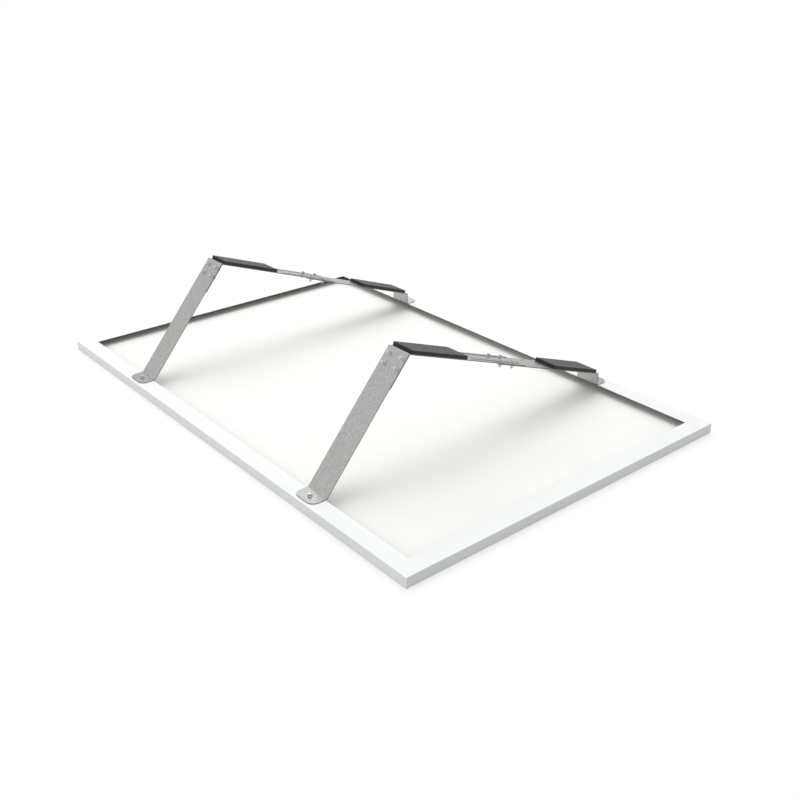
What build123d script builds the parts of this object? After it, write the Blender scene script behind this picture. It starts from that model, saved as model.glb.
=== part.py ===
from build123d import *
import os
from math import cos, radians, sin

# Ballast mounts for a flat roof, bolted to the rear of the solar module that they carry.
# The assembly lies as it is put together on a bench: the module face down on Z = 0 and the
# mounts' rubber roof pads up. X runs across the module, from the long legs to the short legs,
# Y runs along it, and the origin is under the middle of the module.

# Module
module_width = 1134.0
module_length = 1722.0
module_height = 30.0
rail_wall = 1.8
rail_edge_radius = 0.8
lip_width = 11.0
chamber_width = 13.0
rear_flange_width = 51.5
glass_thickness = 3.2
cell_layer_thickness = 1.2
backsheet_thickness = 0.6
laminate_edge_gap = 2.0
key_leg_length = 45.0
key_clearance = 0.2

# Mount frames
mount_spacing = 900.0
strip_width = 80.0
strip_thickness = 2.5
inner_bend_radius = 2.5
bar_tilt = 20.0
bar_to_leg_angle = 110.0
foot_margin = 9.0
foot_length = 46.0
foot_corner_radius = 21.0
foot_hole_setback = 23.0
short_leg_length = 38.5
leg_flange_length = 100.0
upper_bar_length = 456.0
bar_overlap = 115.0

# Fasteners
bolt_diameter = 6.0
hole_clearance = 1.0
thread_clearance = 0.1
thread_overhang = 5.0
tip_chamfer = 0.8
hex_across_flats = 10.0
hex_corner_chamfer = 0.5
flange_diameter = 14.2
flange_rim = 1.1
flange_slope = 1.0
head_height = 6.6
nut_height = 6.0
leg_bolt_inset = 18.0
leg_bolt_pitch = 30.0
splice_bolt_inset = 26.0
splice_bolt_pitch = 50.0
bolt_row_spacing = 50.0
slot_length = 200.0
slot_end_margin = 9.5

# Roof pads
pad_length = 200.0
pad_thickness = 10.0
pad_edge_chamfer = 0.6
high_pad_inset = 13.0
low_pad_inset = 15.0

hole_radius = (bolt_diameter + hole_clearance) / 2
laminate_thickness = glass_thickness + cell_layer_thickness + backsheet_thickness
shelf_base = rail_wall + laminate_thickness
chamber_base = shelf_base + rail_wall
flange_base = module_height - rail_wall
outer_bend_radius = inner_bend_radius + strip_thickness
cut_depth = 2 * strip_thickness


# Directions and corners of a mount frame, seen along the module as (across, up)
def direction(degrees):
    return Vector(cos(radians(degrees)), sin(radians(degrees)))


def left_normal(along):
    return Vector(-along.Y, along.X)


def meeting_point(start, along, other_start, other_along):
    """Where the line from start crosses the line from other_start."""
    other_normal = left_normal(other_along)
    distance = (other_start - start).dot(other_normal) / along.dot(other_normal)
    return start + along * distance


along_bar = direction(-bar_tilt)
bar_normal = left_normal(along_bar)
along_long_leg = direction(180 - bar_to_leg_angle - bar_tilt)
long_leg_normal = left_normal(along_long_leg)
up_short_leg = direction(bar_to_leg_angle - bar_tilt)

foot_top = module_height + strip_thickness
long_foot_end = Vector(foot_margin - module_width / 2, foot_top)
long_foot_crease = long_foot_end + Vector(foot_length, 0)
short_foot_end = Vector(module_width / 2 - foot_margin, foot_top)
short_foot_crease = short_foot_end - Vector(foot_length, 0)

# The short leg and the tilt set the line of the bars, and the long leg reaches up to it. The
# lower bar lies against the upper bar's underside. The upper bar's flange lies on the inner face
# of the long leg, and its top is level with the leg's end.
lower_corner = short_foot_crease + up_short_leg * short_leg_length
on_upper_bar = lower_corner + bar_normal * strip_thickness
long_leg_top = meeting_point(long_foot_crease, along_long_leg, on_upper_bar, along_bar)
leg_inner_top = long_leg_top - long_leg_normal * strip_thickness
upper_corner = meeting_point(leg_inner_top, along_long_leg, long_leg_top, along_bar)
leg_flange_end = leg_inner_top - along_long_leg * leg_flange_length
upper_bar_end = long_leg_top + along_bar * upper_bar_length
lower_bar_start = upper_bar_end - along_bar * bar_overlap - bar_normal * strip_thickness


def section_plane(mount_y):
    """The plane across a mount frame, with x across the module and y up."""
    return Plane(origin=(0, mount_y, 0), x_dir=(1, 0, 0), z_dir=(0, -1, 0))


def face_plane(point, along, mount_y):
    """A plane on a strip's face at a point of its section, with x along the strip."""
    normal = left_normal(along)
    origin = (point.X, mount_y, point.Y)
    return Plane(origin=origin, x_dir=(along.X, 0, along.Y), z_dir=(normal.X, 0, normal.Y))


os.makedirs("parts", exist_ok=True)


# Module: four mitred rails, keyed at the corners, around the glass, cells and backsheet
def make_rail(name, rail_length, middle, inward, bolt_places):
    """An extruded rail with a grip for the laminate, a key chamber and a rear flange."""
    along = inward.cross(Vector(0, 0, 1))
    corner = (Align.MIN, Align.MIN)
    with BuildPart() as rail:
        with BuildSketch(Plane(origin=middle, x_dir=inward, z_dir=along)):
            Rectangle(rail_wall, module_height, align=corner)
            Rectangle(lip_width, rail_wall, align=corner)
            with Locations((0, shelf_base)):
                Rectangle(chamber_width, rail_wall, align=corner)
            with Locations((chamber_width - rail_wall, shelf_base)):
                Rectangle(rail_wall, module_height - shelf_base, align=corner)
            with Locations((0, flange_base)):
                Rectangle(rear_flange_width, rail_wall, align=corner)
            fillet(vertices().group_by(Axis.X)[0], rail_edge_radius)
        extrude(amount=rail_length / 2, both=True)
        for side in (-1, 1):
            mitre_origin = middle + along * (side * rail_length / 2)
            mitre = Plane(origin=mitre_origin, z_dir=inward + along * side)
            split(bisect_by=mitre, keep=Keep.BOTTOM)
        if bolt_places:
            with BuildSketch(Plane.XY.offset(module_height)):
                with Locations(*bolt_places):
                    Circle(hole_radius)
            extrude(amount=-2 * rail_wall, mode=Mode.SUBTRACT)
    rail.part.label = name
    export_step(rail.part, f"parts/{name}.step")


def make_corner_key(name, side_x, side_y):
    """The angle pressed into the chambers of two rails where they meet."""
    outer = rail_wall + key_clearance
    inner = chamber_width - rail_wall - key_clearance
    with BuildPart() as key:
        with BuildSketch(Plane.XY.offset(chamber_base + key_clearance)):
            with BuildLine():
                Polyline(
                    (side_x * (module_width / 2 - outer), side_y * (module_length / 2 - outer)),
                    (side_x * (module_width / 2 - outer), side_y * (module_length / 2 - key_leg_length)),
                    (side_x * (module_width / 2 - inner), side_y * (module_length / 2 - key_leg_length)),
                    (side_x * (module_width / 2 - inner), side_y * (module_length / 2 - inner)),
                    (side_x * (module_width / 2 - key_leg_length), side_y * (module_length / 2 - inner)),
                    (side_x * (module_width / 2 - key_leg_length), side_y * (module_length / 2 - outer)),
                    close=True,
                )
            make_face()
        extrude(amount=flange_base - chamber_base - 2 * key_clearance)
    key.part.label = name
    export_step(key.part, f"parts/{name}.step")


def make_layer(name, base, thickness):
    """One sheet of the laminate, held in the rails' grip."""
    edge = 2 * (rail_wall + laminate_edge_gap)
    with BuildPart() as layer:
        with BuildSketch(Plane.XY.offset(base)):
            Rectangle(module_width - edge, module_length - edge)
        extrude(amount=thickness)
    layer.part.label = name
    export_step(layer.part, f"parts/{name}.step")


mount_rows = {"front": -mount_spacing / 2, "rear": mount_spacing / 2}
long_foot_bolt_x = long_foot_end.X + foot_hole_setback
short_foot_bolt_x = short_foot_end.X - foot_hole_setback
high_side_bolts = [(long_foot_bolt_x, mount_y) for mount_y in mount_rows.values()]
low_side_bolts = [(short_foot_bolt_x, mount_y) for mount_y in mount_rows.values()]

make_rail("high_side_rail", module_length, Vector(-module_width / 2, 0, 0), Vector(1, 0, 0), high_side_bolts)
make_rail("low_side_rail", module_length, Vector(module_width / 2, 0, 0), Vector(-1, 0, 0), low_side_bolts)
make_rail("front_end_rail", module_width, Vector(0, -module_length / 2, 0), Vector(0, 1, 0), [])
make_rail("rear_end_rail", module_width, Vector(0, module_length / 2, 0), Vector(0, -1, 0), [])

for side_name, side_x in (("high", -1), ("low", 1)):
    for end_name, side_y in (("front", -1), ("rear", 1)):
        make_corner_key(f"{end_name}_{side_name}_corner_key", side_x, side_y)

make_layer("front_glass", rail_wall, glass_thickness)
make_layer("cell_layer", rail_wall + glass_thickness, cell_layer_thickness)
make_layer("backsheet", shelf_base - backsheet_thickness, backsheet_thickness)


# Mount frames: three bent steel strips each
def bent_strip(mount_y, outline, bend_radii):
    """A strip whose outer face follows the outline, with its thickness on the right of it."""
    with BuildPart() as strip:
        with BuildSketch(section_plane(mount_y)):
            with BuildLine():
                FilletPolyline(*outline, radius=bend_radii)
                offset(amount=strip_thickness, side=Side.RIGHT)
            make_face()
        extrude(amount=strip_width / 2, both=True)
    return strip.part


def make_long_leg(name, mount_y):
    """The long leg, bent out into its foot."""
    outline = [long_foot_end, long_foot_crease, long_leg_top]
    with BuildPart() as leg:
        add(bent_strip(mount_y, outline, inner_bend_radius))
        fillet(leg.edges().filter_by(Axis.Z).sort_by(Axis.X)[:2], foot_corner_radius)
        with BuildSketch(Plane.XY.offset(foot_top)):
            with Locations((long_foot_bolt_x, mount_y)):
                Circle(hole_radius)
        extrude(amount=-cut_depth, mode=Mode.SUBTRACT)
        with BuildSketch(face_plane(leg_bolt_centre, along_long_leg, mount_y)):
            with GridLocations(leg_bolt_pitch, bolt_row_spacing, 2, 2):
                Circle(hole_radius)
        extrude(amount=-cut_depth, mode=Mode.SUBTRACT)
    leg.part.label = name
    export_step(leg.part, f"parts/{name}.step")


def make_upper_bar(name, mount_y):
    """The upper bar, with the flange that bolts to the long leg and two slots for length."""
    outline = [leg_flange_end, upper_corner, upper_bar_end]
    with BuildPart() as bar:
        add(bent_strip(mount_y, outline, outer_bend_radius))
        with BuildSketch(face_plane(leg_bolt_centre, along_long_leg, mount_y)):
            with GridLocations(leg_bolt_pitch, bolt_row_spacing, 2, 2):
                Circle(hole_radius)
        extrude(amount=-2 * cut_depth, mode=Mode.SUBTRACT)
        with BuildSketch(face_plane(slot_centre, along_bar, mount_y)):
            with GridLocations(1, bolt_row_spacing, 1, 2):
                SlotOverall(slot_length, 2 * hole_radius)
        extrude(amount=-cut_depth, mode=Mode.SUBTRACT)
    bar.part.label = name
    export_step(bar.part, f"parts/{name}.step")


def make_lower_bar(name, mount_y):
    """The lower bar, bent down into the short leg and out into its foot."""
    outline = [lower_bar_start, lower_corner, short_foot_crease, short_foot_end]
    with BuildPart() as bar:
        add(bent_strip(mount_y, outline, [outer_bend_radius, inner_bend_radius]))
        fillet(bar.edges().filter_by(Axis.Z).sort_by(Axis.X)[-2:], foot_corner_radius)
        with BuildSketch(Plane.XY.offset(foot_top)):
            with Locations((short_foot_bolt_x, mount_y)):
                Circle(hole_radius)
        extrude(amount=-cut_depth, mode=Mode.SUBTRACT)
        with BuildSketch(face_plane(splice_centre, along_bar, mount_y)):
            with GridLocations(splice_bolt_pitch, bolt_row_spacing, 2, 2):
                Circle(hole_radius)
        extrude(amount=-2 * cut_depth, mode=Mode.SUBTRACT)
    bar.part.label = name
    export_step(bar.part, f"parts/{name}.step")


def make_pad(name, centre, mount_y):
    """A rubber pad on a bar's roof side."""
    with BuildPart() as pad:
        with BuildSketch(face_plane(centre, along_bar, mount_y)):
            Rectangle(pad_length, strip_width)
        extrude(amount=pad_thickness)
        chamfer(pad.faces().sort_by(SortBy.DISTANCE)[-1].edges(), pad_edge_chamfer)
    pad.part.label = name
    export_step(pad.part, f"parts/{name}.step")


leg_bolt_centre = long_leg_top - along_long_leg * (leg_bolt_inset + leg_bolt_pitch / 2)
slot_centre = upper_bar_end - along_bar * (slot_end_margin + slot_length / 2)
splice_centre = lower_bar_start + along_bar * (splice_bolt_inset + splice_bolt_pitch / 2)
splice_head_centre = splice_centre + bar_normal * strip_thickness
high_pad_centre = long_leg_top + along_bar * (high_pad_inset + pad_length / 2)
low_pad_centre = lower_corner - along_bar * (low_pad_inset + pad_length / 2)


# Fasteners: flange bolts and flange nuts, seated face to face
def hex_with_flange(height):
    """A hexagon with bevelled corners on its pressed-on washer flange, standing on Z = 0."""
    half_flats = hex_across_flats / 2
    with BuildPart() as blank:
        with BuildSketch():
            RegularPolygon(half_flats, 6, major_radius=False)
        extrude(amount=height)
        with BuildSketch(Plane.XZ):
            with BuildLine():
                Polyline(
                    (0, 0),
                    (flange_diameter / 2, 0),
                    (flange_diameter / 2, height - 2 * hex_corner_chamfer),
                    (half_flats, height),
                    (0, height),
                    close=True,
                )
            make_face()
        revolve(axis=Axis.Z, mode=Mode.INTERSECT)
        with BuildSketch(Plane.XZ):
            with BuildLine():
                Polyline(
                    (0, 0),
                    (flange_diameter / 2, 0),
                    (flange_diameter / 2, flange_rim),
                    (half_flats, flange_rim + flange_slope),
                    (0, flange_rim + flange_slope),
                    close=True,
                )
            make_face()
        revolve(axis=Axis.Z)
    return blank.part


def make_bolts(name, seat, places, grip):
    """Bolts whose heads sit on the seat plane and whose shanks pass through the grip."""
    shank_length = grip + nut_height + thread_overhang
    with BuildPart() as bolt:
        add(hex_with_flange(head_height))
        with BuildSketch():
            Circle(bolt_diameter / 2)
        extrude(amount=-shank_length)
        chamfer(bolt.faces().sort_by(Axis.Z)[0].edges(), tip_chamfer)
    with BuildPart(seat) as bolts:
        with Locations(*places):
            add(bolt.part)
    bolts.part.label = name
    export_step(bolts.part, f"parts/{name}.step")


def make_nuts(name, seat, places):
    """Nuts whose flanges sit on the seat plane."""
    with BuildPart() as nut:
        add(hex_with_flange(nut_height))
        Hole((bolt_diameter + thread_clearance) / 2)
    with BuildPart(seat) as nuts:
        with Locations(*places):
            add(nut.part)
    nuts.part.label = name
    export_step(nuts.part, f"parts/{name}.step")


def under_side(plane, grip):
    """The plane that faces the other way on the far side of a grip."""
    return Plane(origin=plane.origin - plane.z_dir * grip, x_dir=plane.x_dir, z_dir=-plane.z_dir)


def square_of_bolts(pitch):
    half_pitch = pitch / 2
    half_rows = bolt_row_spacing / 2
    return [(x, y) for x in (-half_pitch, half_pitch) for y in (-half_rows, half_rows)]


for row_name, mount_y in mount_rows.items():
    make_long_leg(f"{row_name}_long_leg", mount_y)
    make_upper_bar(f"{row_name}_upper_bar", mount_y)
    make_lower_bar(f"{row_name}_lower_bar", mount_y)
    make_pad(f"{row_name}_high_pad", high_pad_centre, mount_y)
    make_pad(f"{row_name}_low_pad", low_pad_centre, mount_y)

    strips_grip = 2 * strip_thickness
    leg_seat = face_plane(leg_bolt_centre, along_long_leg, mount_y)
    make_bolts(f"{row_name}_leg_bolts", leg_seat, square_of_bolts(leg_bolt_pitch), strips_grip)
    make_nuts(f"{row_name}_leg_nuts", under_side(leg_seat, strips_grip), square_of_bolts(leg_bolt_pitch))

    splice_seat = face_plane(splice_head_centre, along_bar, mount_y)
    make_bolts(f"{row_name}_splice_bolts", splice_seat, square_of_bolts(splice_bolt_pitch), strips_grip)
    splice_nut_seat = under_side(splice_seat, strips_grip)
    make_nuts(f"{row_name}_splice_nuts", splice_nut_seat, square_of_bolts(splice_bolt_pitch))

    foot_grip = strip_thickness + rail_wall
    foot_seat = Plane(origin=(0, mount_y, foot_top))
    foot_places = [(long_foot_bolt_x, 0), (short_foot_bolt_x, 0)]
    make_bolts(f"{row_name}_foot_bolts", foot_seat, foot_places, foot_grip)
    make_nuts(f"{row_name}_foot_nuts", under_side(foot_seat, foot_grip), foot_places)
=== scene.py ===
import math

import bpy
from mathutils import Euler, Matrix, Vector


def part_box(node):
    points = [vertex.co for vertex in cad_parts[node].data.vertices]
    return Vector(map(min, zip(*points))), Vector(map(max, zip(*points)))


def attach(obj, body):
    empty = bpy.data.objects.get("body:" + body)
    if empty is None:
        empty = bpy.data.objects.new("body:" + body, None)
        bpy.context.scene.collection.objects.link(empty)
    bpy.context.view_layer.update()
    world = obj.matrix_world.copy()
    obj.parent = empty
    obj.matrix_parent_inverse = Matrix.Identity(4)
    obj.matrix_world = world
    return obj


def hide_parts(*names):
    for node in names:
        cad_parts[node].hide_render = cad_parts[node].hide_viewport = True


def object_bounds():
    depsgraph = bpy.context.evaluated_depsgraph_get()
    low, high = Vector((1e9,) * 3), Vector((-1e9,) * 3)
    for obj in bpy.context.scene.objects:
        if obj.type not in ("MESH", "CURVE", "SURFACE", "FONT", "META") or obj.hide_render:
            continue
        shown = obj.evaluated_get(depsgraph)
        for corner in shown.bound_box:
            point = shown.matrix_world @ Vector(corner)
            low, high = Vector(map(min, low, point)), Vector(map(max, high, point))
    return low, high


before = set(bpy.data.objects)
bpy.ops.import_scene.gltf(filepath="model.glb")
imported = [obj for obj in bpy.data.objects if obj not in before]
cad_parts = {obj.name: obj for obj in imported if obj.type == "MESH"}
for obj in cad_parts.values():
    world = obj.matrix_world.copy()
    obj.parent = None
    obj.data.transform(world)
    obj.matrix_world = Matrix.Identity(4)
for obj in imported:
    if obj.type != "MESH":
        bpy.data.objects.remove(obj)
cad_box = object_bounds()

# --- Module rails -----------------------------------------------------------------------------
# Four extruded aluminium rails, mitred and keyed at the corners, with a rear flange that the
# mounts bolt to. They are bead blasted and anodised, so the surface is pale, even and satin.


def linear(hex_colour):
    """The linear colour of an sRGB hex value such as #d2d7d8."""
    parts = [int(hex_colour[i : i + 2], 16) / 255 for i in (1, 3, 5)]
    return [c / 12.92 if c <= 0.04045 else ((c + 0.055) / 1.055) ** 2.4 for c in parts] + [1.0]


def add_node(tree, kind, inputs=None, **settings):
    """Adds a node, sets its properties, and links or sets its inputs by name or number."""
    made = tree.nodes.new(kind)
    for name, value in settings.items():
        setattr(made, name, value)
    for socket, source in (inputs or {}).items():
        if isinstance(source, bpy.types.NodeSocket):
            tree.links.new(source, made.inputs[socket])
        else:
            made.inputs[socket].default_value = source
    return made


def start_material(name):
    """A material with an empty tree, its object coordinates and its shader."""
    material = bpy.data.materials.new(name)
    material.use_nodes = True
    tree = material.node_tree
    tree.nodes.clear()
    coordinates = add_node(tree, "ShaderNodeTexCoord")
    shader = add_node(tree, "ShaderNodeBsdfPrincipled")
    add_node(tree, "ShaderNodeOutputMaterial", {"Surface": shader.outputs["BSDF"]})
    return material, tree, coordinates.outputs["Object"], shader


def finish_nodes(names, material):
    """Gives the CAD nodes their material."""
    for name in names:
        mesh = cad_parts[name].data
        mesh.materials.clear()
        mesh.materials.append(material)


def anodised_aluminium():
    """Bead-blasted, anodised extrusion, pale outside, with painted shade on the faces inside the outer
    walls and under the flange's top.
    """
    # The beads leave pits of about 0.1 mm. They are drawn coarser, so that they show.
    blast_grain = 0.0015
    cloud_size = 0.12
    rail_wall = 0.0018
    # Planes in the middle of the outer walls' thickness, which part the outside from the inside.
    wall_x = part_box("low_side_rail")[1].x - rail_wall / 2
    wall_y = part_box("high_side_rail")[1].y - rail_wall / 2
    wall_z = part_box("high_side_rail")[1].z - rail_wall / 2
    material, tree, place, shader = start_material("anodised_aluminium")
    clouds = add_node(
        tree, "ShaderNodeTexNoise", {"Vector": place, "Scale": 1 / cloud_size, "Detail": 3.0}
    )
    grain = add_node(
        tree, "ShaderNodeTexNoise", {"Vector": place, "Scale": 1 / blast_grain, "Detail": 2.0}
    )
    tone = add_node(tree, "ShaderNodeMix", {"Factor": clouds.outputs["Fac"]}, data_type="RGBA")
    tone.inputs[6].default_value = linear("#edf0f0")
    tone.inputs[7].default_value = linear("#f4f6f6")
    speckle = add_node(
        tree, "ShaderNodeMapRange", {"Value": grain.outputs["Fac"], "To Min": 0.38, "To Max": 0.5}
    )
    bump = add_node(
        tree, "ShaderNodeBump", {"Height": grain.outputs["Fac"], "Strength": 0.05, "Distance": 0.0002}
    )
    axes = add_node(tree, "ShaderNodeSeparateXYZ", {"Vector": place})
    inside = add_node(
        tree, "ShaderNodeMath", {0: axes.outputs["Z"], 1: wall_z}, operation="LESS_THAN"
    )
    for axis, limit in (("X", wall_x), ("Y", wall_y)):
        away = add_node(tree, "ShaderNodeMath", {0: axes.outputs[axis]}, operation="ABSOLUTE")
        within = add_node(
            tree, "ShaderNodeMath", {0: away.outputs["Value"], 1: limit}, operation="LESS_THAN"
        )
        inside = add_node(
            tree,
            "ShaderNodeMath",
            {0: inside.outputs["Value"], 1: within.outputs["Value"]},
            operation="MULTIPLY",
        )
    # Painted shade: every face inside these planes (under the flange, in the chamber) gets a dull grey,
    # so that it looks shaded.
    recess_shade = add_node(tree, "ShaderNodeMix", {"Factor": inside.outputs["Value"]}, data_type="RGBA")
    tree.links.new(tone.outputs[2], recess_shade.inputs[6])
    recess_shade.inputs[7].default_value = linear("#83847f")
    tree.links.new(recess_shade.outputs[2], shader.inputs["Base Color"])
    tree.links.new(speckle.outputs["Result"], shader.inputs["Roughness"])
    tree.links.new(bump.outputs["Normal"], shader.inputs["Normal"])
    shader.inputs["Metallic"].default_value = 0.0
    return material


rails = ["high_side_rail", "low_side_rail", "front_end_rail", "rear_end_rail"]
finish_nodes(rails, anodised_aluminium())


# --- Corner keys ------------------------------------------------------------------------------
# Angles sawn from an extrusion and pressed into the rails' chambers. They are left as milled,
# with the fine parallel lines of the die.


def mill_finish_aluminium():
    """Bare extruded aluminium, with fine die lines along its height."""
    # Real die lines are about 0.1 mm apart. They are drawn coarser, so that they show.
    die_line = 0.0008
    lengthwise_stretch = 0.02
    material, tree, place, shader = start_material("mill_finish_aluminium")
    stretch = add_node(
        tree, "ShaderNodeMapping", {"Vector": place, "Scale": (1.0, 1.0, lengthwise_stretch)}
    )
    lines = add_node(
        tree,
        "ShaderNodeTexNoise",
        {"Vector": stretch.outputs["Vector"], "Scale": 1 / die_line, "Detail": 2.0},
    )
    tone = add_node(tree, "ShaderNodeMix", {"Factor": lines.outputs["Fac"]}, data_type="RGBA")
    tone.inputs[6].default_value = linear("#b4b7b9")
    tone.inputs[7].default_value = linear("#cfd2d4")
    tree.links.new(tone.outputs[2], shader.inputs["Base Color"])
    shader.inputs["Metallic"].default_value = 1.0
    shader.inputs["Roughness"].default_value = 0.4
    return material


keys = [f"{row}_{side}_corner_key" for row in ("front", "rear") for side in ("high", "low")]
finish_nodes(keys, mill_finish_aluminium())


# --- Laminate ---------------------------------------------------------------------------------
# Tempered glass in front, half cells sealed in clear film behind it, and a white polyester
# backsheet on the rear. It is pressed hot into one sheet and glued into the rails' grip.


def tempered_glass():
    """Low-iron glass with the faint stipple that is rolled into it to cut glare."""
    stipple = 0.0012
    material, tree, place, shader = start_material("tempered_glass")
    dimples = add_node(tree, "ShaderNodeTexVoronoi", {"Vector": place, "Scale": 1 / stipple})
    bump = add_node(
        tree,
        "ShaderNodeBump",
        {"Height": dimples.outputs["Distance"], "Strength": 0.03, "Distance": 0.0002},
    )
    tree.links.new(bump.outputs["Normal"], shader.inputs["Normal"])
    shader.inputs["Base Color"].default_value = linear("#f2fbf8")
    shader.inputs["Roughness"].default_value = 0.08
    shader.inputs["IOR"].default_value = 1.52
    shader.inputs["Transmission Weight"].default_value = 1.0
    return material


def sealed_cells():
    """Dark silicon half cells with silver ribbons, and white film in the gaps between them."""
    low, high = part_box("cell_layer")
    columns, rows = 6, 18
    cell_gap = 0.003
    ribbons_per_cell = 10
    ribbon_width = 0.0009
    clouds_per_metre = 30.0
    material, tree, place, shader = start_material("sealed_silicon_cells")
    axes = add_node(tree, "ShaderNodeSeparateXYZ", {"Vector": place})
    masks = []
    for axis, start, end, count in (("X", low.x, high.x, columns), ("Y", low.y, high.y, rows)):
        pitch = (end - start) / count
        along = add_node(tree, "ShaderNodeMath", {0: axes.outputs[axis], 1: -start}, operation="ADD")
        within = add_node(
            tree, "ShaderNodeMath", {0: along.outputs["Value"], 1: pitch / 2}, operation="PINGPONG"
        )
        solid = add_node(
            tree,
            "ShaderNodeMath",
            {0: within.outputs["Value"], 1: cell_gap / 2},
            operation="GREATER_THAN",
        )
        masks.append(solid.outputs["Value"])
    cell = add_node(tree, "ShaderNodeMath", {0: masks[0], 1: masks[1]}, operation="MULTIPLY")
    ribbon_pitch = (high.x - low.x) / columns / ribbons_per_cell
    from_edge = add_node(tree, "ShaderNodeMath", {0: axes.outputs["X"], 1: -low.x}, operation="ADD")
    ribbon_place = add_node(
        tree,
        "ShaderNodeMath",
        {0: from_edge.outputs["Value"], 1: ribbon_pitch / 2},
        operation="PINGPONG",
    )
    ribbon = add_node(
        tree,
        "ShaderNodeMath",
        {0: ribbon_place.outputs["Value"], 1: ribbon_pitch / 2 - ribbon_width / 2},
        operation="GREATER_THAN",
    )
    cloud = add_node(
        tree, "ShaderNodeTexNoise", {"Vector": place, "Scale": clouds_per_metre, "Detail": 3.0}
    )
    silicon = add_node(tree, "ShaderNodeMix", {"Factor": cloud.outputs["Fac"]}, data_type="RGBA")
    silicon.inputs[6].default_value = linear("#10141f")
    silicon.inputs[7].default_value = linear("#18202f")
    wired = add_node(tree, "ShaderNodeMix", {"Factor": ribbon.outputs["Value"]}, data_type="RGBA")
    tree.links.new(silicon.outputs[2], wired.inputs[6])
    wired.inputs[7].default_value = linear("#aeb2b5")
    whole = add_node(tree, "ShaderNodeMix", {"Factor": cell.outputs["Value"]}, data_type="RGBA")
    whole.inputs[6].default_value = linear("#e9ebeb")
    tree.links.new(wired.outputs[2], whole.inputs[7])
    tree.links.new(whole.outputs[2], shader.inputs["Base Color"])
    shader.inputs["Roughness"].default_value = 0.3
    return material


def polyester_backsheet():
    """White film with a fine matt tooth, very slightly uneven where the cells lie under it."""
    # The film's tooth is finer than 0.1 mm. It is drawn coarser, so that it shows.
    tooth = 0.0012
    cloud_size = 0.25
    material, tree, place, shader = start_material("polyester_backsheet")
    grain = add_node(tree, "ShaderNodeTexNoise", {"Vector": place, "Scale": 1 / tooth, "Detail": 2.0})
    clouds = add_node(
        tree, "ShaderNodeTexNoise", {"Vector": place, "Scale": 1 / cloud_size, "Detail": 2.0}
    )
    tone = add_node(tree, "ShaderNodeMix", {"Factor": clouds.outputs["Fac"]}, data_type="RGBA")
    tone.inputs[6].default_value = linear("#f6f6f3")
    tone.inputs[7].default_value = linear("#fafaf7")
    bump = add_node(
        tree, "ShaderNodeBump", {"Height": grain.outputs["Fac"], "Strength": 0.08, "Distance": 0.0002}
    )
    tree.links.new(tone.outputs[2], shader.inputs["Base Color"])
    tree.links.new(bump.outputs["Normal"], shader.inputs["Normal"])
    shader.inputs["Roughness"].default_value = 0.6
    return material


finish_nodes(["front_glass"], tempered_glass())
finish_nodes(["cell_layer"], sealed_cells())
finish_nodes(["backsheet"], polyester_backsheet())


# --- Mount strips -----------------------------------------------------------------------------
# The long legs, upper bars and lower bars are steel strip, punched and bent, then dipped in
# molten zinc. The zinc froze into a dull, fine-grained skin with a faint sparkle.


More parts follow.
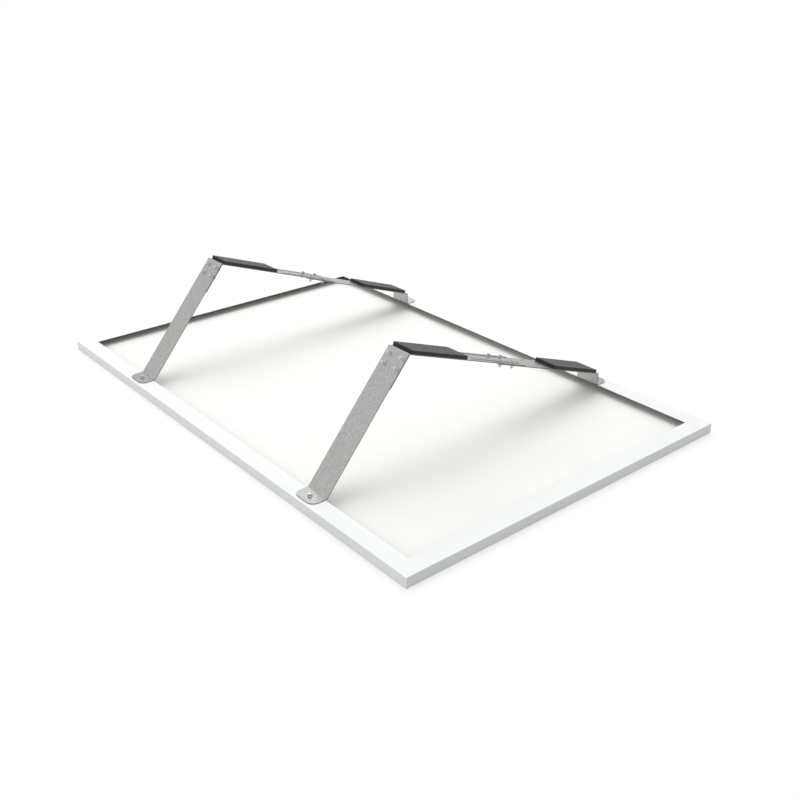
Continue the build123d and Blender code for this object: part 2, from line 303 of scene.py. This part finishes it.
def galvanised_steel():
    """Hot-dip zinc: mid grey crystals and specks, with painted shade on the edge faces, slot walls and
    foot ends.
    """
    crystal = 0.0032
    speck = 0.0016
    stain = 0.06
    strip_thickness = 0.0025
    edge_facing = 0.35
    upright_tolerance = 0.2
    foot_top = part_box("front_long_leg")[0].z + strip_thickness
    material, tree, place, shader = start_material("galvanised_steel")
    crystals = add_node(tree, "ShaderNodeTexVoronoi", {"Vector": place, "Scale": 1 / crystal})
    crystal_tone = add_node(tree, "ShaderNodeSeparateColor", {"Color": crystals.outputs["Color"]})
    specks = add_node(tree, "ShaderNodeTexNoise", {"Vector": place, "Scale": 1 / speck, "Detail": 3.0})
    stains = add_node(tree, "ShaderNodeTexNoise", {"Vector": place, "Scale": 1 / stain, "Detail": 4.0})
    facets = add_node(tree, "ShaderNodeMix", {"Factor": crystal_tone.outputs["Red"]}, data_type="RGBA")
    facets.inputs[6].default_value = linear("#9d9d9c")
    facets.inputs[7].default_value = linear("#bdbdbc")
    fleck_share = add_node(
        tree,
        "ShaderNodeMapRange",
        {"Value": specks.outputs["Fac"], "From Min": 0.35, "From Max": 0.7, "To Max": 0.55},
    )
    flecked = add_node(tree, "ShaderNodeMix", {"Factor": fleck_share.outputs["Result"]}, data_type="RGBA")
    tree.links.new(facets.outputs[2], flecked.inputs[6])
    flecked.inputs[7].default_value = linear("#bcbcba")
    stain_share = add_node(
        tree,
        "ShaderNodeMapRange",
        {"Value": stains.outputs["Fac"], "From Min": 0.4, "From Max": 0.75, "To Max": 0.1},
    )
    stained = add_node(tree, "ShaderNodeMix", {"Factor": stain_share.outputs["Result"]}, data_type="RGBA")
    tree.links.new(flecked.outputs[2], stained.inputs[6])
    stained.inputs[7].default_value = linear("#9a9b98")
    dullness = add_node(
        tree,
        "ShaderNodeMapRange",
        {"Value": crystal_tone.outputs["Green"], "To Min": 0.26, "To Max": 0.34},
    )
    bump = add_node(
        tree, "ShaderNodeBump", {"Height": specks.outputs["Fac"], "Strength": 0.12, "Distance": 0.0003}
    )
    surface = add_node(tree, "ShaderNodeNewGeometry")
    facing = add_node(tree, "ShaderNodeSeparateXYZ", {"Vector": surface.outputs["True Normal"]})
    height = add_node(tree, "ShaderNodeSeparateXYZ", {"Vector": place})
    sideways = add_node(tree, "ShaderNodeMath", {0: facing.outputs["Y"]}, operation="ABSOLUTE")
    long_edge = add_node(
        tree, "ShaderNodeMath", {0: sideways.outputs["Value"], 1: edge_facing}, operation="GREATER_THAN"
    )
    upright = add_node(
        tree,
        "ShaderNodeMath",
        {0: facing.outputs["Z"], 1: 0.0, 2: upright_tolerance},
        operation="COMPARE",
    )
    in_foot = add_node(
        tree, "ShaderNodeMath", {0: height.outputs["Z"], 1: foot_top}, operation="LESS_THAN"
    )
    foot_end = add_node(
        tree,
        "ShaderNodeMath",
        {0: upright.outputs["Value"], 1: in_foot.outputs["Value"]},
        operation="MULTIPLY",
    )
    # Painted shade: faces turned sideways (strip edges, slot walls) and the foot tabs' upright ends get a
    # darker grey, so that they look shaded.
    shaded_edge_faces = add_node(
        tree,
        "ShaderNodeMath",
        {0: long_edge.outputs["Value"], 1: foot_end.outputs["Value"]},
        operation="MAXIMUM",
    )
    edge_shade_mix = add_node(tree, "ShaderNodeMix", {"Factor": shaded_edge_faces.outputs["Value"]}, data_type="RGBA")
    tree.links.new(stained.outputs[2], edge_shade_mix.inputs[6])
    edge_shade_mix.inputs[7].default_value = linear("#7b7b79")
    tree.links.new(edge_shade_mix.outputs[2], shader.inputs["Base Color"])
    tree.links.new(dullness.outputs["Result"], shader.inputs["Roughness"])
    tree.links.new(bump.outputs["Normal"], shader.inputs["Normal"])
    shader.inputs["Metallic"].default_value = 1.0
    shader.inputs["Specular Tint"].default_value = linear("#e4e4e4")
    return material


mount_rows = ("front", "rear")
strips = [f"{row}_{piece}" for row in mount_rows for piece in ("long_leg", "upper_bar", "lower_bar")]
finish_nodes(strips, galvanised_steel())


# --- Roof pads --------------------------------------------------------------------------------
# Mats cut from rubber granules bound under pressure. They are nearly black, matt and rough to the
# touch. Their sides are painted darker than the top face, as painted shade.


def bound_rubber_granules():
    """Recycled rubber: dark granules a few millimetres across in a dull binder."""
    granule = 0.0028
    dust_grains_per_metre = 900.0
    face_slope = 0.9
    material, tree, place, shader = start_material("bound_rubber_granules")
    granules = add_node(tree, "ShaderNodeTexVoronoi", {"Vector": place, "Scale": 1 / granule})
    granule_tone = add_node(tree, "ShaderNodeSeparateColor", {"Color": granules.outputs["Color"]})
    dust = add_node(
        tree, "ShaderNodeTexNoise", {"Vector": place, "Scale": dust_grains_per_metre, "Detail": 3.0}
    )
    tone = add_node(tree, "ShaderNodeMix", {"Factor": granule_tone.outputs["Red"]}, data_type="RGBA")
    tone.inputs[6].default_value = linear("#3a3a3a")
    tone.inputs[7].default_value = linear("#686868")
    bump = add_node(
        tree,
        "ShaderNodeBump",
        {"Height": granules.outputs["Distance"], "Strength": 0.35, "Distance": 0.0004},
    )
    fine_bump = add_node(
        tree,
        "ShaderNodeBump",
        {
            "Height": dust.outputs["Fac"],
            "Normal": bump.outputs["Normal"],
            "Strength": 0.2,
            "Distance": 0.0002,
        },
    )
    facing = add_node(tree, "ShaderNodeNewGeometry")
    upward = add_node(tree, "ShaderNodeSeparateXYZ", {"Vector": facing.outputs["True Normal"]})
    is_face = add_node(
        tree, "ShaderNodeMath", {0: upward.outputs["Z"], 1: face_slope}, operation="GREATER_THAN"
    )
    # Painted shade: faces that don't look up get a darker grey than the top face.
    side_shade = add_node(tree, "ShaderNodeMix", {"Factor": is_face.outputs["Value"]}, data_type="RGBA")
    side_shade.inputs[6].default_value = linear("#2f2f2e")
    tree.links.new(tone.outputs[2], side_shade.inputs[7])
    tree.links.new(side_shade.outputs[2], shader.inputs["Base Color"])
    tree.links.new(fine_bump.outputs["Normal"], shader.inputs["Normal"])
    shader.inputs["Roughness"].default_value = 0.85
    return material


pads = [f"{row}_{side}_pad" for row in mount_rows for side in ("high", "low")]
finish_nodes(pads, bound_rubber_granules())


# --- Bolts and nuts ---------------------------------------------------------------------------
# Flange bolts and flange nuts of cold-forged steel, electroplated with zinc. The bolts are drawn
# again here with rolled threads and dished heads, and the nuts keep their solids' shape. The
# plating is bright, smooth and nearly neutral, with a little dulling from handling.


def zinc_plated_steel():
    """Bright zinc plate: smooth and reflective, with faint handling marks."""
    handling = 0.004
    material, tree, place, shader = start_material("zinc_plated_steel")
    marks = add_node(
        tree, "ShaderNodeTexNoise", {"Vector": place, "Scale": 1 / handling, "Detail": 4.0}
    )
    tone = add_node(tree, "ShaderNodeMix", {"Factor": marks.outputs["Fac"]}, data_type="RGBA")
    tone.inputs[6].default_value = linear("#bebebf")
    tone.inputs[7].default_value = linear("#d0d0d1")
    dullness = add_node(
        tree, "ShaderNodeMapRange", {"Value": marks.outputs["Fac"], "To Min": 0.16, "To Max": 0.28}
    )
    tree.links.new(tone.outputs[2], shader.inputs["Base Color"])
    tree.links.new(dullness.outputs["Result"], shader.inputs["Roughness"])
    shader.inputs["Metallic"].default_value = 1.0
    return material


zinc_plate = zinc_plated_steel()
joints = ("leg", "splice", "foot")
finish_nodes([f"{row}_{joint}_nuts" for row in mount_rows for joint in joints], zinc_plate)

half_flats = 0.005
head_height = 0.0066
corner_bevel = 0.001
dish_radius = 0.0032
dish_depth = 0.0003
flange_radius = 0.0071
flange_rim = 0.0011
flange_slope = 0.001
thread_radius = 0.003
thread_depth = 0.0005
thread_pitch = 0.001
tip_bevel = 0.0008
steps_round = 36
steps_per_turn = 6
sharp_edge = math.radians(25)


def hexagon_radius(turn):
    """The hexagon's radius at an angle, with a corner at zero."""
    sixth = math.pi / 3
    return half_flats / math.cos(turn % sixth - sixth / 2)


def bolt_rings(shank_length):
    """Rings of (radius, height) round a bolt that stands head up with its flange at zero."""
    turns = [2 * math.pi * step / steps_round for step in range(steps_round)]
    hexagon = [hexagon_radius(turn) for turn in turns]
    spread = flange_radius - half_flats
    bevel = [head_height - corner_bevel * (radius - half_flats) / spread for radius in hexagon]
    flange_top = flange_rim + flange_slope
    root = [flange_top - flange_slope * (radius - half_flats) / spread for radius in hexagon]
    rings = [
        [(dish_radius, head_height - dish_depth)] * steps_round,
        [(dish_radius + dish_depth, head_height)] * steps_round,
        [(half_flats - dish_depth, head_height)] * steps_round,
        list(zip(hexagon, bevel)),
        list(zip(hexagon, root)),
        [(flange_radius, flange_rim)] * steps_round,
        [(flange_radius, 0.0)] * steps_round,
        [(thread_radius, 0.0)] * steps_round,
    ]
    steps_down = round(shank_length / thread_pitch * steps_per_turn)
    for step in range(1, steps_down + 1):
        depth = shank_length * step / steps_down
        widest = thread_radius - max(0.0, depth - (shank_length - tip_bevel))
        ring = []
        for turn in turns:
            across_thread = (depth / thread_pitch + turn / (2 * math.pi)) % 1
            groove = thread_depth * (1 - abs(2 * across_thread - 1))
            ring.append((min(widest, thread_radius - groove), -depth))
        rings.append(ring)
    return turns, rings


def add_bolt(vertices, faces, seat, along, normal, shank_length):
    """Adds one bolt's vertices and faces, with its flange's underside on the seat point."""
    turns, rings = bolt_rings(shank_length)
    across = normal.cross(along)
    first = len(vertices)
    for ring in rings:
        for turn, (radius, height) in zip(turns, ring):
            outward = along * math.cos(turn) + across * math.sin(turn)
            vertices.append(seat + outward * radius + normal * height)
    for row_start in range(first, len(vertices) - steps_round, steps_round):
        for step in range(steps_round):
            following = (step + 1) % steps_round
            below = row_start + steps_round
            faces.append((row_start + step, below + step, below + following, row_start + following))
    last = len(vertices) - steps_round
    faces.append(tuple(range(first, first + steps_round)))
    faces.append(tuple(reversed(range(last, last + steps_round))))


def threaded_bolts(row, joint, tilt, rows_of_bolts):
    """Bolts in the place of a CAD node's: two along the strip, in one or two rows."""
    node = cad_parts[f"{row}_{joint}_bolts"]
    along = Vector((math.cos(tilt), 0.0, math.sin(tilt)))
    normal = Vector((-math.sin(tilt), 0.0, math.cos(tilt)))
    points = [(v.co.dot(along), v.co.y, v.co.dot(normal)) for v in node.data.vertices]
    top = max(point[2] for point in points)
    shank_length = top - min(point[2] for point in points) - head_height
    middle = [(max(p[i] for p in points) + min(p[i] for p in points)) / 2 for i in (0, 1)]
    vertices, faces = [], []
    for side in (-1, 1):
        for row_side in (-1, 1)[:rows_of_bolts]:
            mine = [p for p in points if (p[0] - middle[0]) * side > 0]
            if rows_of_bolts == 2:
                mine = [p for p in mine if (p[1] - middle[1]) * row_side > 0]
            centre = [(max(p[i] for p in mine) + min(p[i] for p in mine)) / 2 for i in (0, 1)]
            seat = along * centre[0] + Vector((0.0, centre[1], 0.0)) + normal * (top - head_height)
            add_bolt(vertices, faces, seat, along, normal, shank_length)
    mesh = bpy.data.meshes.new(f"{row}_{joint}_threaded_bolts")
    mesh.from_pydata(vertices, [], faces)
    mesh.polygons.foreach_set("use_smooth", [True] * len(mesh.polygons))
    mesh.set_sharp_from_angle(angle=sharp_edge)
    mesh.materials.append(zinc_plate)
    bolts = bpy.data.objects.new(mesh.name, mesh)
    bpy.context.scene.collection.objects.link(bolts)
    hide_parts(node.name)
    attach(bolts, "root")


bar_tilt = math.radians(-20)
leg_tilt = math.radians(50)
for row in mount_rows:
    threaded_bolts(row, "leg", leg_tilt, 2)
    threaded_bolts(row, "splice", bar_tilt, 2)
    threaded_bolts(row, "foot", 0.0, 1)


# --- Floor ------------------------------------------------------------------------------------
# A white studio floor that the module lies on. It shows its shadow near the module and turns to
# plain white further out. It throws less light back up than it shows, so the module's sides
# stay greyer than its face.

floor_size = 60.0
floor_drop = 0.0005
shadow_reach = 1.1
near_whitening = 0.5
floor_mesh = bpy.data.meshes.new("studio_floor")
half = floor_size / 2
corners = [(-half, -half, 0), (half, -half, 0), (half, half, 0), (-half, half, 0)]
floor_mesh.from_pydata(corners, [], [(0, 1, 2, 3)])
floor = bpy.data.objects.new("studio_floor", floor_mesh)
floor.location.z = cad_box[0].z - floor_drop
bpy.context.scene.collection.objects.link(floor)

floor_paint = bpy.data.materials.new("matt_studio_floor")
floor_paint.use_nodes = True
floor_tree = floor_paint.node_tree
floor_tree.nodes.clear()
floor_rays = add_node(floor_tree, "ShaderNodeLightPath")
seen_or_glossy = add_node(
    floor_tree,
    "ShaderNodeMath",
    {0: floor_rays.outputs["Is Camera Ray"], 1: floor_rays.outputs["Is Glossy Ray"]},
    operation="MAXIMUM",
)
seen = add_node(
    floor_tree,
    "ShaderNodeMath",
    {0: seen_or_glossy.outputs["Value"], 1: floor_rays.outputs["Is Transmission Ray"]},
    operation="MAXIMUM",
)
floor_place = add_node(floor_tree, "ShaderNodeNewGeometry")
from_middle = add_node(
    floor_tree, "ShaderNodeVectorMath", {0: floor_place.outputs["Position"]}, operation="LENGTH"
)
whitening = add_node(
    floor_tree,
    "ShaderNodeMapRange",
    {
        "Value": from_middle.outputs["Value"],
        "From Min": shadow_reach,
        "From Max": 2 * shadow_reach,
        "To Min": near_whitening,
        "To Max": 1.0,
    },
    interpolation_type="SMOOTHSTEP",
)
bounce = add_node(floor_tree, "ShaderNodeBsdfDiffuse", {"Color": linear("#b6b6b6")})
matt_white = add_node(floor_tree, "ShaderNodeBsdfDiffuse", {"Color": linear("#fdfdfd")})
plain_white = add_node(
    floor_tree, "ShaderNodeEmission", {"Color": linear("#ffffff"), "Strength": 1.0}
)
shown = add_node(
    floor_tree,
    "ShaderNodeMixShader",
    {0: whitening.outputs["Result"], 1: matt_white.outputs["BSDF"], 2: plain_white.outputs["Emission"]},
)
floor_mix = add_node(
    floor_tree,
    "ShaderNodeMixShader",
    {0: seen.outputs["Value"], 1: bounce.outputs["BSDF"], 2: shown.outputs["Shader"]},
)
add_node(floor_tree, "ShaderNodeOutputMaterial", {"Surface": floor_mix.outputs["Shader"]})
floor_mesh.materials.append(floor_paint)


# --- Studio light -----------------------------------------------------------------------------
# A white surround gives the even part of the light. A broad soft box overhead throws the
# shadows, and a weaker one at the left and one at the rear lift the upright faces.

surround_strength = 0.65
backdrop_strength = 1.0
world = bpy.data.worlds.new("white_studio")
bpy.context.scene.world = world
world.use_nodes = True
world_tree = world.node_tree
world_tree.nodes.clear()
world_rays = add_node(world_tree, "ShaderNodeLightPath")
world_seen_or_glossy = add_node(
    world_tree,
    "ShaderNodeMath",
    {0: world_rays.outputs["Is Camera Ray"], 1: world_rays.outputs["Is Glossy Ray"]},
    operation="MAXIMUM",
)
world_seen = add_node(
    world_tree,
    "ShaderNodeMath",
    {0: world_seen_or_glossy.outputs["Value"], 1: world_rays.outputs["Is Transmission Ray"]},
    operation="MAXIMUM",
)
surround = add_node(
    world_tree,
    "ShaderNodeBackground",
    {"Color": linear("#ffffff"), "Strength": surround_strength},
)
backdrop = add_node(
    world_tree,
    "ShaderNodeBackground",
    {"Color": linear("#ffffff"), "Strength": backdrop_strength},
)
world_mix = add_node(
    world_tree,
    "ShaderNodeMixShader",
    {
        0: world_seen.outputs["Value"],
        1: surround.outputs["Background"],
        2: backdrop.outputs["Background"],
    },
)
add_node(world_tree, "ShaderNodeOutputWorld", {"Surface": world_mix.outputs["Shader"]})


def soft_box(name, place, size, power, in_reflections):
    """A square area lamp that faces a point just above the middle of the module's rear."""
    aim = Vector((0.0, 0.0, 0.1))
    lamp = bpy.data.lights.new(name, "AREA")
    lamp.size = size
    lamp.energy = power
    holder = bpy.data.objects.new(name, lamp)
    holder.location = place
    holder.rotation_euler = (aim - Vector(place)).to_track_quat("-Z", "Y").to_euler()
    holder.visible_glossy = in_reflections
    bpy.context.scene.collection.objects.link(holder)


soft_box("overhead_box", place=(1.3, 1.6, 6.5), size=5.6, power=216.0, in_reflections=False)
soft_box("left_box", place=(-4.5, 0.5, 2.0), size=3.0, power=38.0, in_reflections=False)
soft_box("rear_box", place=(2.9, 3.7, 2.7), size=3.0, power=22.0, in_reflections=True)

bpy.context.scene.view_settings.view_transform = "Standard"


# --- Camera -----------------------------------------------------------------------------------
# It looks down on the rear of the module from beside the long legs' end, with a slightly
# long lens.

sensor_width = 36.0
lens_length = 45.22
farthest_view = 200.0
camera_place = (-1.7292, -2.2334, 1.3616)
camera_pitch = math.radians(63.53)
camera_heading = math.radians(-39.82)
camera_data = bpy.data.cameras.new("camera")
camera_data.sensor_width = sensor_width
camera_data.lens = lens_length
camera_data.clip_end = farthest_view
camera = bpy.data.objects.new("camera", camera_data)
camera.location = camera_place
camera.rotation_euler = Euler((camera_pitch, 0.0, camera_heading))
bpy.context.scene.collection.objects.link(camera)
bpy.context.scene.camera = camera
